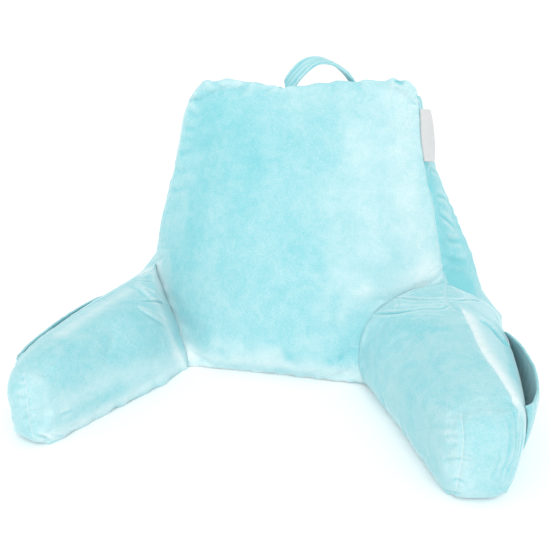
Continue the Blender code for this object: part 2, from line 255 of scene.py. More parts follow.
def backShape(cube):
    across, through, up = cube.T
    z = cut["height"] * (up + 1) / 2
    left = across < 0
    sides = [backHalf(side, through, z) for side in (-1, 1)]
    half, sideY, frontY, rearY = (np.where(left, a, b) for a, b in zip(*sides))
    rootTop = np.where(left, rootHeight[-1], rootHeight[1])
    crown = mix(cut["lowCrown"], cut["highCrown"], np.minimum(z / rootTop, 1))
    frontHere = mix(valueAt(backTable, "middleY", z), frontY, np.abs(across) ** crown)
    rearHere = rearY + cut["rearPuff"] * (1 - across**2) * (1 - up**2)
    tuck = cut["baseTuck"] * np.clip(1 - z / cut["baseTuckHeight"], 0, 1) ** 2
    frontHere = frontHere + cut["frontTuck"] * tuck * (1 - across**6)
    rearHere = rearHere - tuck
    frontHere = frontHere + cut["frontDrawn"] * (1 - across**2)
    x = across * half * (1 - cut["backDrawn"] * np.clip((z - rootTop) / cut["drawnBlend"], 0, 1))
    y = mix(frontHere, rearHere, (sideY - frontY) / (rearY - frontY))
    puff = cut["topPuff"] * (1 - across**4) * (1 - through**2)
    rise = valueAt(topTable, "rise", x) - cut["topFall"] * (through + 1) / 2 + puff
    return np.stack([x, y, z + rise * ((up + 1) / 2) ** 3], axis=1)


def armShape(side, cube):
    across, through, up = cube.T
    reach = np.maximum(np.abs(across), np.abs(up))
    towardEnd = np.maximum(-through, 0)
    power = cut["armEndRound"]
    size = np.maximum((reach**power + towardEnd**power) ** (1 / power), 1e-9)
    shrink = np.where(through < 0, np.maximum(reach, towardEnd) / size, 1)
    along = (through * shrink + 1) / 2
    upper = np.where(across < 0, valueAt(armTable[side], "inFull", along),
                     valueAt(armTable[side], "outFull", along))
    full = np.where(up > 0, upper, cut["armBaseFull"])
    spread = (np.abs(across) ** full + np.abs(up) ** full) ** (1 / full)
    scale = reach / np.maximum(spread, 1e-9) * shrink
    drawn = 1 - cut["armDrawn"][side] * (1 - along)
    x, z = armSection(side, along, across * scale * drawn, up * scale)
    endY = cut["armEndY"][side] + cut["armEndSlope"][side] * (np.abs(x) - armTable[side]["inner"][0])
    y = mix(endY, seamY(side, x, z, -cut["sewnGap"] / 2), along)
    return np.stack([x, y, z], axis=1)


def cubeGrid(counts, crowding):
    # a cube cut into cells across, through and up, which crowd towards its edges
    grid = bmesh.new()
    bmesh.ops.create_cube(grid, size=2.0)
    for axis, count in enumerate(counts):
        edges = [e for e in grid.edges if abs((e.verts[0].co - e.verts[1].co)[axis]) > 1.9]
        bmesh.ops.subdivide_edges(grid, edges=edges, cuts=count - 1, use_grid_fill=True)
    cube = np.array([tuple(v.co) for v in grid.verts])
    turn = np.array(crowding) * math.pi / 2
    return grid, np.clip(np.sin(cube * turn) / np.sin(turn), -1, 1)


def toPiece(name, grid, closed=True):
    # a closed grid's faces are turned outward
    if closed:
        bmesh.ops.recalc_face_normals(grid, faces=grid.faces[:])
        if grid.calc_volume(signed=True) < 0:
            bmesh.ops.reverse_faces(grid, faces=grid.faces[:])
    mesh = bpy.data.meshes.new(name)
    grid.to_mesh(mesh)
    grid.free()
    mesh.shade_smooth()
    made = bpy.data.objects.new(name, mesh)
    scene.collection.objects.link(made)
    return made


def readPoints(piece, name="co"):
    values = np.zeros(len(piece.data.vertices) * 3, np.float32)
    piece.data.vertices.foreach_get(name, values)
    return values.reshape(-1, 3).astype(float)


def readNormals(piece):
    return readPoints(piece, "normal")


def writePoints(piece, points):
    piece.data.vertices.foreach_set("co", points.astype(np.float32).ravel())
    piece.data.update()


def writeOnFloor(piece, points):
    # nothing goes below the floor
    points[:, 2] = np.maximum(points[:, 2], 0)
    writePoints(piece, points)


def writeLayer(piece, name, values):
    # a value, or three, that the mesh carries at each point
    kind, field = ("FLOAT", "value") if values.ndim == 1 else ("FLOAT_VECTOR", "vector")
    layer = piece.data.attributes.new(name, kind, "POINT")
    layer.data.foreach_set(field, values.astype(np.float32).ravel())


def settle(piece, sewn, cloth):
    # let air pressure plump the cloth between its sewn points, then keep that shape
    start = readPoints(piece)
    group = piece.vertex_groups.new(name="sewn")
    group.add([int(index) for index in np.nonzero(sewn)[0]], 1.0, "REPLACE")
    modifier = piece.modifiers.new("Cloth", "CLOTH")
    for name, value in cloth["settings"].items():
        setattr(modifier.settings, name, value)
    modifier.settings.effector_weights.gravity = 0
    modifier.collision_settings.use_collision = False
    for number in range(1, cloth["frames"] + 1):
        scene.frame_set(number)
    graph = bpy.context.evaluated_depsgraph_get()
    move = readPoints(piece.evaluated_get(graph)) - start
    length = np.linalg.norm(move, axis=1, keepdims=True)
    stitches = KDTree(int(sewn.sum()))
    for spot, index in enumerate(np.nonzero(sewn)[0]):
        stitches.insert(start[index], spot)
    stitches.balance()
    away = np.array([[stitches.find(place)[2]] for place in start])
    cap = cloth["cap"] * (1 - np.exp(-away / cloth["ease"]))
    move *= np.minimum(1, cap / np.maximum(length, 1e-9))
    piece.modifiers.remove(modifier)
    piece.vertex_groups.remove(group)
    writePoints(piece, start + move)
    scene.frame_set(1)
    print(f"{piece.name}: cloth settled, moved {length.max() / mm:.1f} mm at most")


def refine(piece):
    # one subdivision, applied
    modifier = piece.modifiers.new("Finer", "SUBSURF")
    modifier.levels = modifier.render_levels = 1
    graph = bpy.context.evaluated_depsgraph_get()
    finer = bpy.data.meshes.new_from_object(piece.evaluated_get(graph))
    piece.modifiers.remove(modifier)
    old = piece.data
    piece.data = finer
    finer.name = piece.name
    bpy.data.meshes.remove(old)
    finer.shade_smooth()


searchSteps = range(80, 170)   # cm along a ray, where cloth beside it is looked for


def onCloth(trees, pixels):
    # points on the nearest cloth where the camera sees these pixels, or closest beside it
    found = []
    for px, py in pixels:
        start, aim = pixelRay(px, py)
        hits = [tree.ray_cast(start, aim) for tree in trees]
        hits = [hit for hit in hits if hit[0] is not None]
        if hits:
            found.append(min(hits, key=lambda hit: hit[3])[0])
            continue
        beside = [tree.find_nearest(start + aim * step * 10 * mm)
                  for tree in trees for step in searchSteps]
        found.append(min(beside, key=lambda near: near[3])[0])
    return np.array([tuple(place) for place in found])


def onto(tree, path):
    # a path laid on the nearest cloth
    return np.array([tuple(tree.find_nearest(Vector(place))[0]) for place in path])


def smoothPath(points, step=3 * mm):
    # an even polyline on a smooth curve through the points
    lengths = np.linalg.norm(np.diff(points, axis=0), axis=1)
    keys = np.concatenate([[0], np.cumsum(np.maximum(lengths, 1e-5))])
    where = np.linspace(0, keys[-1], max(3, int(keys[-1] / step)))
    table = {"key": keys, "x": points[:, 0], "y": points[:, 1], "z": points[:, 2]}
    return np.stack([valueAt(table, axis, where) for axis in "xyz"], axis=1)


# painted light on folds: how much paler, as a painted highlight, the cloth is on a ridge as high as it
# is wide, how much deeper, as painted shade, in such a trough, and how much paler on a pucker, again a
# painted highlight, for each mm of its height
pile = {"ridge": 0.45, "trough": 0.26, "pucker": 0.03}
flatBeside = 3 * mm        # puckers begin this far from the stitching that holds them
fadeAtEnds = 8 * mm        # over which a seam's groove and puckers fade at its ends


class Near:
    # the points within reach of a path: which they are, how far, on which side and where

    def __init__(self, points, normals, path, reach):
        inside = (points > path.min(0) - reach) & (points < path.max(0) + reach)
        index = np.nonzero(inside.all(1))[0]
        best = np.full(len(index), 9.0)
        along = np.zeros(len(index))
        offset = np.zeros((len(index), 3))
        heading = np.zeros((len(index), 3))
        walked = 0.0
        for a, b in zip(path, path[1:]):
            run = b - a
            length = max(np.linalg.norm(run), 1e-9)
            t = np.clip(((points[index] - a) @ run) / length**2, 0, 1)
            away = points[index] - a - t[:, None] * run
            distance = np.linalg.norm(away, axis=1)
            closer = distance < best
            best = np.where(closer, distance, best)
            along = np.where(closer, walked + t * length, along)
            offset[closer] = away[closer]
            heading[closer] = run / length
            walked += length
        keep = best < reach
        self.index = index[keep]
        self.distance = best[keep]
        self.walk = along[keep]
        self.length = walked
        self.facing = normals[self.index]
        crossed = np.cross(heading[keep], self.facing)
        self.side = np.sign((crossed * offset[keep]).sum(1))   # + is right of its direction


def wobble(where, seed):
    # a smooth uneven curve, mostly from -1 to 1, the same each run
    total = 0.0
    for pace, turn in ((1.0, 2.1), (1.73, 4.7), (2.61, 1.3), (4.1, 3.9)):
        total = total + np.sin(where * pace + seed * turn + turn) / pace**0.5
    return total / 1.9


def crease(wide, deep, ridge, *pixels, ridgeSide=0, ends=0.5):
    # sizes in mm; its ridge is on both sides or on one, and the less ends is, the blunter it ends
    return {"pixels": pixels, "wide": wide * mm, "deep": deep * mm, "ridge": ridge * mm,
            "ridgeSide": ridgeSide, "ends": ends}


def stroke(wide, pale, *pixels, only=0):
    # how wide, in mm, and how much paler it paints the cloth, deeper if below 0: painted light and
    # shade, and brushed pile; only keeps it to one side
    return {"pixels": pixels, "wide": wide * mm, "pale": pale, "only": only}


def pressCreases(piece, tree, creases, lieAndPaintedLight):
    # press creases into the cloth, each with a soft ridge beside it; the ridge gets a painted highlight
    # and the trough painted shade
    for fold in creases:
        points = readPoints(piece)
        path = smoothPath(onCloth([tree], fold["pixels"]))
        wide = fold["wide"]
        near = Near(points, readNormals(piece), path, 6 * wide)
        fade = np.clip(np.sin(np.pi * near.walk / near.length), 0, 1) ** fold["ends"]
        trough = fold["deep"] * np.exp(-(near.distance / wide) ** 2)
        ridgeAt = (near.distance - 2.1 * wide) / (1.3 * wide)
        ridge = fold["ridge"] * np.exp(-ridgeAt**2)
        if fold["ridgeSide"]:
            ridge = np.where(near.side == fold["ridgeSide"], ridge, 0)
        points[near.index] += near.facing * ((ridge - trough) * fade)[:, None]
        writeOnFloor(piece, points)
        # painted highlight on the ridge and painted shade in the trough
        lieAndPaintedLight[near.index] += (ridge * pile["ridge"] - trough * pile["trough"]) / wide * fade


def gather(piece, path, seam, lieAndPaintedLight):
    # sew a seam: a groove, with the cloth gathered into uneven puckers on both sides, given a painted
    # highlight on each pucker and painted shade between
    points = readPoints(piece)
    reach = seam["reach"] * mm
    near = Near(points, readNormals(piece), path, 2.5 * reach)
    place = near.walk / (seam["pitch"] * mm) * 2 * math.pi
    seed = seam["seed"] + near.side * 1.7
    ripple = np.sin(place + 1.8 * wobble(place / 5, seed)) * (0.6 + 0.5 * wobble(place / 7, seed + 3))
    spread = np.exp(-(near.distance / reach) ** 1.5)
    if not seam.get("wavy"):
        spread *= 1 - np.exp(-(near.distance / flatBeside) ** 2)
    wide = seam["wide"] * mm
    groove = seam["deep"] * mm * np.exp(-(near.distance / wide) ** 2)
    swell = seam["swell"] * mm * np.exp(-((near.distance - 3 * wide) / (2.5 * wide)) ** 2)
    ends = np.clip(np.minimum(near.walk, near.length - near.walk) / fadeAtEnds, 0, 1)
    move = seam["pucker"] * mm * ripple * spread - groove + swell
    points[near.index] += near.facing * (move * ends)[:, None]
    writeOnFloor(piece, points)
    # painted highlight on the puckers and painted shade between them
    lieAndPaintedLight[near.index] += (seam["pucker"] * ripple * spread * ends) * pile["pucker"]


def pressSpot(piece, x, y, deep, wide):
    # press the top of a piece down around a spot
    points = readPoints(piece)
    away = np.hypot(points[:, 0] - frameShift.x - x, points[:, 1] - frameShift.y - y)
    upper = readNormals(piece)[:, 2] > 0.3
    points[:, 2] -= np.where(upper, deep * mm * np.exp(-(away / (wide * mm)) ** 2), 0)
    writePoints(piece, points)


def markSeams(piece, paths):
    # store each point's distance from the nearest seam, once with the side as its sign
    points = readPoints(piece)
    normals = readNormals(piece)
    reach = 16 * mm
    marks = np.full((len(points), 3), reach)   # the third isn't used
    for path in paths:
        near = Near(points, normals, path, reach)
        closer = near.distance < marks[near.index, 1]
        chosen = near.index[closer]
        marks[chosen, 0] = (near.distance * np.where(near.side < 0, -1, 1))[closer]
        marks[chosen, 1] = near.distance[closer]
    writeLayer(piece, "seam", marks)


def brushAndShade(piece, tree, strokes, lieAndPaintedLight):
    # store the painted light and shade of the strokes, with brushed pile, at each point: + paler, -
    # deeper
    points = readPoints(piece)
    normals = readNormals(piece)
    for brushed in strokes:
        wide = brushed["wide"]
        path = smoothPath(onCloth([tree], brushed["pixels"]), 8 * mm)
        near = Near(points, normals, path, 2.6 * wide)
        spread = np.exp(-(near.distance / wide) ** 2)
        if brushed["only"]:
            spread *= np.clip(near.distance * near.side * brushed["only"] / (2 * mm), 0, 1)
        lieAndPaintedLight[near.index] += brushed["pale"] * spread
    writeLayer(piece, "lieAndPaintedLight", lieAndPaintedLight)


def lumps(piece, depth, size):
    # uneven filling: soft swells and hollows under the cloth
    points = readPoints(piece)
    u, v, w = (points / size).T
    swell = np.sin(u * 6.3 + 1.1 * np.sin(v * 5.1) + 0.4) * np.sin(w * 6.7 + np.sin(u * 4.3))
    swell = swell + 0.6 * np.sin(v * 9.1 + w * 7.7 + 1.9) * np.sin(u * 8.3 - w * 3.1)
    points += readNormals(piece) * (swell * depth * mm)[:, None]
    writeOnFloor(piece, points)


def edgePath(piece, cube, fixed, along, low=-1.0):
    # the points on an edge of the cube that a form was bent from, in order
    chosen = cube[:, along] >= low - 1e-4
    for axis, value in fixed.items():
        chosen &= np.abs(cube[:, axis] - value) < 1e-4
    index = np.nonzero(chosen)[0]
    return readPoints(piece)[index[np.argsort(cube[index, along])]]


def rootRim(side):
    # the line round an arm's root along which it is sewn to the back, inner foot to outer
    upward = np.sin(np.linspace(-math.pi / 2, math.pi / 2, 40))
    rim = []
    for sign, full in ((-1, "inFull"), (1, "outFull")):
        x, z = armSection(side, 1.0, sign * rootOutline(side, upward, full), upward)
        points = np.stack([x, seamY(side, x, z, 0), z], axis=1) + shiftArray
        rim.append(points if sign < 0 else points[::-1])
    return np.concatenate([rim[0][:-1], rim[1]])


velourCloth = {
    "settings": {
        "quality": 6,
        "mass": 0.3,
        "tension_stiffness": 12.0,
        "compression_stiffness": 12.0,
        "shear_stiffness": 4.0,
        "bending_stiffness": 0.6,
        "use_pressure": True,
        "uniform_pressure_force": 4.0,
        "shrink_min": -0.012,      # the cover is cut this much wider than its filling
        "vertex_group_mass": "sewn",
        "pin_stiffness": 1.0,
    },
    "frames": 20,
    "cap": 0.008,              # the most that the cover lifts
    "ease": 0.040,             # how far from its seams it has most of that lift
}

backPiece = {
    "cells": (88, 32, 78),
    "crowding": (0.85, 0.6, 0.8),
    "soften": 8,
    "cloth": velourCloth,
    "lumpDepth": 0.5,          # mm
    "lumpSize": 0.16,
}
armPiece = {
    "cells": (48, 108, 34),
    "crowding": (0.3, 0.6, 0.3),
    "soften": 3,
    "cloth": {**velourCloth, "cap": 0.005},
    "lumpDepth": 0.5,
    "lumpSize": 0.12,
}

# how a seam gathers its cloth, in mm; line says whether its stitching shows, and wavy that its
# puckers run on through its own line
frontSeam = {"deep": 1.4, "wide": 2.6, "swell": 0.6, "pucker": 1.0, "pitch": 19, "reach": 12,
             "seed": 1, "line": True}
topSeam = {"deep": 1.6, "wide": 3.4, "swell": 1.2, "pucker": 2.6, "pitch": 38, "reach": 24,
           "seed": 4, "line": True}
rearSeam = {"deep": 1.8, "wide": 3.0, "swell": 0.8, "pucker": 1.6, "pitch": 28, "reach": 16,
            "seed": 7, "line": True}
footSeam = {"deep": 0.5, "wide": 2.5, "swell": 0.2, "pucker": 1.6, "pitch": 30, "reach": 16,
            "seed": 2, "line": False, "wavy": True}
leftFoot = {**footSeam, "pucker": 2.6, "pitch": 42, "reach": 20, "seed": 8}
rightFoot = {**leftFoot, "pucker": 1.0}
rootSeam = {"deep": 0.3, "wide": 2.6, "swell": 0.2, "pucker": 0.6, "pitch": 26, "reach": 14,
            "seed": 5, "line": False}
armSeam = {"deep": 1.1, "wide": 2.6, "swell": 0.5, "pucker": 0.8, "pitch": 22, "reach": 12,
           "seed": 3, "line": False}
dartSeam = {"deep": 1.1, "wide": 2.4, "swell": 0.6, "pucker": 1.3, "pitch": 15, "reach": 10,
            "seed": 6, "line": True}

topSeamBack = 0.012        # the front panel rolls over the top by this much before its seam
aboveRoot = 2 * rootHeight[1] / cut["height"] - 1      # an arm's root ends there

backEdges = (
    # the sides of the cube that meet in it, the axis that it runs along and from where, how far
    # behind it the seam lies, and the seam
    ({0: -1, 1: -1}, 2, aboveRoot, 0, frontSeam),
    ({1: -1, 2: 1}, 0, -1, topSeamBack, topSeam),
    ({1: 1, 2: 1}, 0, -1, 0, topSeam),
    ({0: -1, 2: 1}, 1, -1, 0, topSeam),
    ({0: 1, 2: 1}, 1, -1, 0, topSeam),
    ({0: -1, 1: 1}, 2, -1, 0, rearSeam),
    ({0: 1, 1: 1}, 2, -1, 0, rearSeam),
    ({1: -1, 2: -1}, 0, -1, 0, footSeam),
    ({1: 1, 2: -1}, 0, -1, 0, footSeam),
)

# where seams are seen on the arms
seamPixels = {
    "rightFront": [(416, 92), (419, 108), (421, 130), (424, 160), (430, 190), (436, 225),
                   (441, 255), (442, 270), (447, 281), (445, 290), (448, 302), (455, 309),
                   (463, 313)],
    "rightTop": [(463, 313), (470, 327), (478, 345), (487, 360), (503, 383), (515, 404),
                 (522, 425), (521, 446), (513, 470), (503, 488)],
    "rightDart": [(461, 413), (463, 430), (463, 447), (461, 463), (458, 479), (456, 490)],
    "leftDart": [(24, 374), (26, 388), (27, 404), (29, 418), (31, 430), (34, 438)],
}

# where the cloth is creased
backCreases = [
    # tucks at the right top corner, and beside the ribbon
    crease(3.2, 4.0, 1.0, (394, 80), (399, 82), (405, 84)),
    crease(3.0, 2.6, 0.8, (420, 93), (416, 97), (412, 101)),
    crease(2.6, 2.0, 0.8, (420, 104), (415, 104), (409, 102)),
    crease(2.4, 0.8, 0, (421, 132), (415, 131), (410, 131)),
    crease(5.0, 4.5, 1.5, (186, 100), (191, 100), (197, 101)),
    # the lumps of the top edge
    crease(4.5, 2.2, 0.8, (211, 79), (216, 85), (222, 91)),
    crease(5.0, 2.0, 1.0, (242, 78), (246, 85), (238, 93)),
    crease(5.0, 1.5, 1.0, (200, 93), (212, 94), (226, 91), (242, 89), (256, 84), ridgeSide=-1),
    crease(3.2, 1.4, 0.8, (262, 93), (270, 89), (279, 87), (287, 88)),
    crease(6.0, 1.6, 0, (284, 86), (287, 93), (286, 103)),
    crease(5.0, 1.0, 0, (330, 82), (334, 90), (333, 100)),
    crease(5.0, 1.4, 0.5, (357, 82), (361, 90), (366, 97)),
    crease(4.5, 0.9, 0, (375, 79), (378, 88), (376, 97)),
    # puckers along the left seam
    crease(4.5, 1.4, 0.7, (185, 109), (192, 114), (199, 118)),
    crease(4.0, 1.0, 0.6, (180, 127), (187, 129), (196, 130)),
    crease(4.5, 1.3, 0.6, (176, 152), (184, 153), (193, 151)),
    crease(5.0, 1.4, 0.7, (174, 170), (181, 172), (192, 171)),
    crease(4.5, 1.2, 0.8, (165, 190), (174, 191), (186, 188)),
    crease(4.0, 0.9, 0, (160, 212), (168, 214), (178, 213)),
    crease(3.6, 1.1, 0.5, (157, 248), (166, 248), (178, 247)),
    crease(3.2, 1.4, 0.5, (154, 262), (163, 257), (166, 251)),
    # gathers that run from the corner above the right arm
    crease(1.8, 0.8, 0.4, (375, 313), (380, 308), (386, 303)),
    crease(2.4, 0.9, 0.6, (441, 273), (434, 281), (425, 288), (412, 292)),
    crease(2.4, 0.8, 0.5, (442, 262), (436, 268), (428, 273)),
    # slanting dents in the right gusset
    crease(3.0, 2.4, 1.8, (430, 168), (435, 172), (439, 178)),
    crease(3.4, 2.4, 1.8, (436, 196), (441, 196), (447, 201)),
    crease(3.4, 2.8, 2.0, (438, 214), (446, 219), (455, 228)),
    crease(4.0, 2.6, 1.6, (445, 238), (452, 241), (461, 241)),
    crease(5.0, 2.8, 1.8, (444, 256), (455, 262), (467, 262)),
]
rightArmCreases = [
    crease(2.4, 4.2, 1.6, (394, 298), (410, 299), (424, 300), (437, 300), (446, 300), (460, 301),
        (479, 301), ends=0.35),
    crease(2.4, 4.0, 1.5, (374, 314), (393, 313), (410, 311), (425, 309), (440, 309), (448, 306),
        ends=0.4),
    crease(2.2, 2.0, 1.0, (397, 298), (407, 294), (418, 290), (430, 287), (441, 284)),
    crease(1.8, 0.7, 0.3, (397, 299), (399, 305), (396, 312)),
    crease(2.2, 0.7, 0.4, (404, 317), (420, 316), (436, 316), (447, 318)),
    crease(2.0, 0.7, 0.5, (448, 286), (455, 292), (465, 296)),
    crease(2.2, 1.0, 0.6, (452, 284), (462, 289), (471, 294), (480, 299)),
    crease(2.0, 0.6, 0.4, (459, 291), (463, 297)),
    # the tuck over the pocket's rear end, and the roll above it
    crease(4.6, 10.0, 2.5, (479, 320), (486, 323), (494, 330), (501, 339), (508, 347),
        ridgeSide=-1),
    crease(4.0, 1.2, 0, (492, 310), (497, 319), (503, 330)),
    # the end, across its dart
    crease(2.2, 1.1, 0.5, (444, 437), (454, 436), (465, 437)),
    crease(3.6, 1.3, 0.5, (447, 447), (452, 445), (457, 444)),
    crease(2.2, 1.2, 0.5, (441, 462), (456, 459), (473, 462)),
    crease(2.2, 1.7, 0.6, (451, 480), (459, 480), (467, 484)),
    crease(3.0, 2.2, 0.6, (446, 491), (454, 493), (462, 494)),
    crease(3.0, 0.7, 0.4, (430, 426), (444, 426), (457, 427)),
    crease(5.0, 0.8, 0, (408, 323), (420, 337), (430, 353), (441, 378), (453, 411)),
    crease(4.0, 0.8, 0.4, (434, 402), (444, 404), (453, 409)),
    # lengthwise gathers beside the seam round the end
    crease(2.4, 1.2, 0.6, (509, 404), (516, 424), (516, 444), (510, 464), (502, 482)),
    crease(2.6, 0.8, 0.5, (503, 412), (510, 430), (509, 448), (503, 468), (496, 484)),
    crease(2.0, 1.1, 0.6, (517, 414), (519, 432), (517, 450), (511, 468)),
    crease(2.4, 0.6, 0.4, (500, 448), (498, 462), (492, 478)),
]
leftArmCreases = [
    crease(2.0, 1.8, 1.2, (144, 268), (150, 264)),
    crease(2.0, 2.0, 1.2, (141, 272), (151, 267)),
    crease(2.2, 2.6, 1.6, (137, 276), (144, 274), (152, 271)),
    crease(2.2, 2.8, 1.5, (133, 280), (143, 281), (153, 282)),
    crease(4.0, 2.6, 2.6, (131, 287), (139, 290), (147, 297), (152, 300), ridgeSide=-1),
    crease(2.2, 2.6, 1.4, (141, 301), (153, 301), (164, 304)),
    crease(3.4, 2.0, 2.2, (136, 308), (146, 314), (157, 321), (168, 328), ridgeSide=-1),
    crease(3.5, 0.8, 0.5, (118, 305), (127, 302), (134, 304)),
    # the end, beside its dart and under it
    crease(2.4, 1.4, 0.5, (20, 379), (25, 378)),
    crease(2.4, 1.5, 0.5, (18, 387), (26, 386)),
    crease(2.4, 1.4, 0.5, (15, 396), (27, 397)),
    crease(2.4, 1.2, 0.5, (14, 406), (27, 407)),
    crease(2.8, 1.8, 0.5, (12, 416), (28, 417)),
    crease(2.8, 1.4, 0.5, (13, 424), (24, 430)),
    crease(2.6, 2.8, 1.0, (35, 433), (43, 437), (52, 440), ridgeSide=-1),
    crease(2.4, 1.4, 0.6, (50, 435), (58, 436), (64, 435)),
    crease(2.6, 1.6, 0.8, (60, 416), (66, 413), (72, 411)),
    crease(2.4, 0.8, 0.4, (67, 427), (73, 425), (79, 424)),
    crease(3.0, 0.8, 0.4, (86, 394), (97, 393)),
    crease(4.0, 0.7, 0.4, (33, 360), (46, 351), (61, 343), (82, 333), (103, 323)),
]

# painted light and shade, with some brushed pile: where the cloth is painted paler, or deeper. Paler on
# the right of the back, which turns to the key light, on bottom edges lit from the floor, and along
# outlines and roots, against their shade; deeper on the right gusset and the right arm's outer side, in
# shade
backPileAndShadingStrokes = [
    # painted light on the back's right part, turned towards the key light
    stroke(42, 0.3, (400, 95), (405, 150), (412, 210), (425, 265)),
    stroke(34, 0.22, (356, 135), (360, 170), (366, 215), (372, 245)),
    stroke(26, 0.1, (290, 95), (340, 95)),
    stroke(10, 0.12, (340, 318), (352, 300), (368, 288)),
    stroke(26, 0.24, (345, 278), (372, 290), (400, 290), (430, 270)),
    stroke(22, 0.07, (322, 300), (320, 335)),
    stroke(30, -0.07, (228, 140), (240, 190), (236, 235)),
    stroke(16, -0.09, (280, 115), (284, 145)),
    stroke(12, -0.1, (170, 238), (176, 265)),
    stroke(26, 0.1, (330, 195), (338, 245)),
    # painted light from the floor along the back's bottom edge
    stroke(18, 0.4, (186, 357), (240, 360), (300, 368), (358, 378)),
    stroke(8, 0.42, (196, 367), (240, 371), (300, 377), (345, 382)),
    stroke(13, 0.14, (215, 343), (238, 346)),
    stroke(8, -0.2, (222, 352), (226, 357)),
    stroke(12, 0.16, (262, 350), (276, 352)),
    stroke(9, -0.2, (288, 358), (296, 362)),
    stroke(12, 0.16, (300, 340), (316, 346)),
    stroke(9, -0.18, (330, 362), (340, 358)),
    stroke(30, -0.1, (206, 112), (204, 150), (198, 200), (190, 260)),
    stroke(34, -0.12, (228, 112), (245, 135), (258, 165)),
    # painted highlight along the left outline and the top edge
    stroke(7, 0.25, (194, 93), (183, 115), (176, 150), (170, 180), (160, 210), (157, 245)),
    stroke(9, 0.15, (200, 84), (230, 82), (256, 85), (290, 88)),
    # painted shade on the right gusset, which faces away from the light
    stroke(60, -0.26, (417, 92), (424, 160), (436, 225), (442, 265), (448, 283), only=-1),
    stroke(20, -0.1, (452, 262), (468, 284)),
    # painted light beside the left arm's root, against the shade there
    stroke(17, 0.44, (158, 268), (168, 296), (178, 325), (188, 352)),
]
rightArmPileAndShadingStrokes = [
    # painted highlight on the lit strip beside the top seam
    stroke(19, 0.63, (463, 313), (470, 327), (478, 345), (487, 360), (503, 383), (512, 398),
        only=-1),
    # painted shade on the arm's outer side below the tuck
    stroke(9, -0.75, (500, 328), (508, 344), (513, 360), (516, 378)),
    stroke(26, 0.06, (485, 410), (480, 440)),
    stroke(12, -0.1, (512, 410), (514, 440), (508, 465)),
    stroke(24, 0.16, (448, 425), (456, 462), (462, 492)),
    stroke(4, 0.25, (396, 305), (420, 305), (446, 304)),
    stroke(9, 0.15, (400, 292), (470, 292)),
    stroke(18, -0.06, (385, 330), (420, 325), (450, 330)),
    # painted light along the root, against the shade of its seam
    stroke(9, 0.1, (361, 340), (367, 320), (381, 305), (400, 295)),
]
leftArmPileAndShadingStrokes = [
    stroke(26, 0.18, (35, 385), (45, 415)),
    # painted light beside the root, against its shade
    stroke(15, 0.44, (140, 274), (154, 270), (159, 290)),
    stroke(14, 0.34, (158, 305), (170, 335), (178, 354)),
    stroke(12, 0.25, (60, 335), (100, 308), (130, 290)),
    stroke(16, 0.22, (66, 402), (110, 380), (140, 370), (180, 354)),
    # painted light from the floor along the lower edge
    stroke(14, 0.38, (45, 438), (100, 412), (150, 384), (183, 365)),
    stroke(5, 0.3, (138, 284), (150, 290), (163, 302)),
    stroke(3, 0.25, (139, 307), (152, 311), (168, 320)),
]


onFace = 0.999             # from here on, a point is on that face of its cube


def stuffed(name, shape, settings, sewnOn):
    # a stuffed form: a cut cube bent into shape and softened
    grid, cube = cubeGrid(settings["cells"], settings["crowding"])
    places = shape(cube)
    held = sewnOn(cube, places)
    for vert, place in zip(grid.verts, places):
        vert.co = Vector(place) + frameShift
    free = [v for v, fixed in zip(grid.verts, held) if not fixed]
    for _ in range(settings["soften"]):
        bmesh.ops.smooth_vert(grid, verts=free, factor=0.5, use_axis_x=True, use_axis_y=True,
                              use_axis_z=True)
    for vert, (_, _, up) in zip(grid.verts, cube):
        if up < -onFace:
            vert.co.z = 0.0
    return toPiece(name, grid), cube


def atRoot(cube, places):
    # the back's points on the two flat faces that the arms are sewn to, and their rims
    across, through, _ = cube.T
    top = np.where(across < 0, rootHeight[-1], rootHeight[1])
    return (np.abs(across) > onFace) & (through < cut["hipPlace"] + 0.02) & (places[:, 2] < top)


def makeBack():
    piece, cube = stuffed("back_cushion", backShape, backPiece, atRoot)
    edges = (np.abs(cube) > onFace).sum(1) > 1
    root = atRoot(cube, readPoints(piece) - shiftArray)
    sewn = edges | (cube[:, 2] < -onFace) | root
    settle(piece, sewn, backPiece["cloth"])
    seams = [(edgePath(piece, cube, sides, along, low) + np.array((0, behind, 0)), seam)
             for sides, along, low, behind, seam in backEdges]
    refine(piece)
    lumps(piece, backPiece["lumpDepth"], backPiece["lumpSize"])
    tab = handlePiece["bend"] + handlePiece["tab"] / 2
    for x in (handlePiece["rows"]["x"][0] - tab, handlePiece["rows"]["x"][-1] + tab):
        pressSpot(piece, x, handlePiece["y"], handlePiece["sink"], handlePiece["sinkWide"])
    return piece, seams


def makeArm(side):
    piece, cube = stuffed("arm_cushion_" + sideWord[side], lambda c: armShape(side, c), armPiece,
                          lambda c, _: c[:, 1] > onFace)
    sewn = (cube[:, 1] > onFace) | (cube[:, 2] < -onFace)
    settle(piece, sewn, armPiece["cloth"])
    foot = edgePath(piece, cube, {0: -1, 2: -1}, 1)
    refine(piece)
    lumps(piece, armPiece["lumpDepth"], armPiece["lumpSize"])
    return piece, foot


def treeOf(piece):
    return BVHTree.FromPolygons([v.co for v in piece.data.vertices],
                                [p.vertices[:] for p in piece.data.polygons])


rootRound = 1 * mm         # how far beyond an arm's root the back is held off it too
rootDeep = 12 * mm         # cloth further past the root's plane isn't the root's


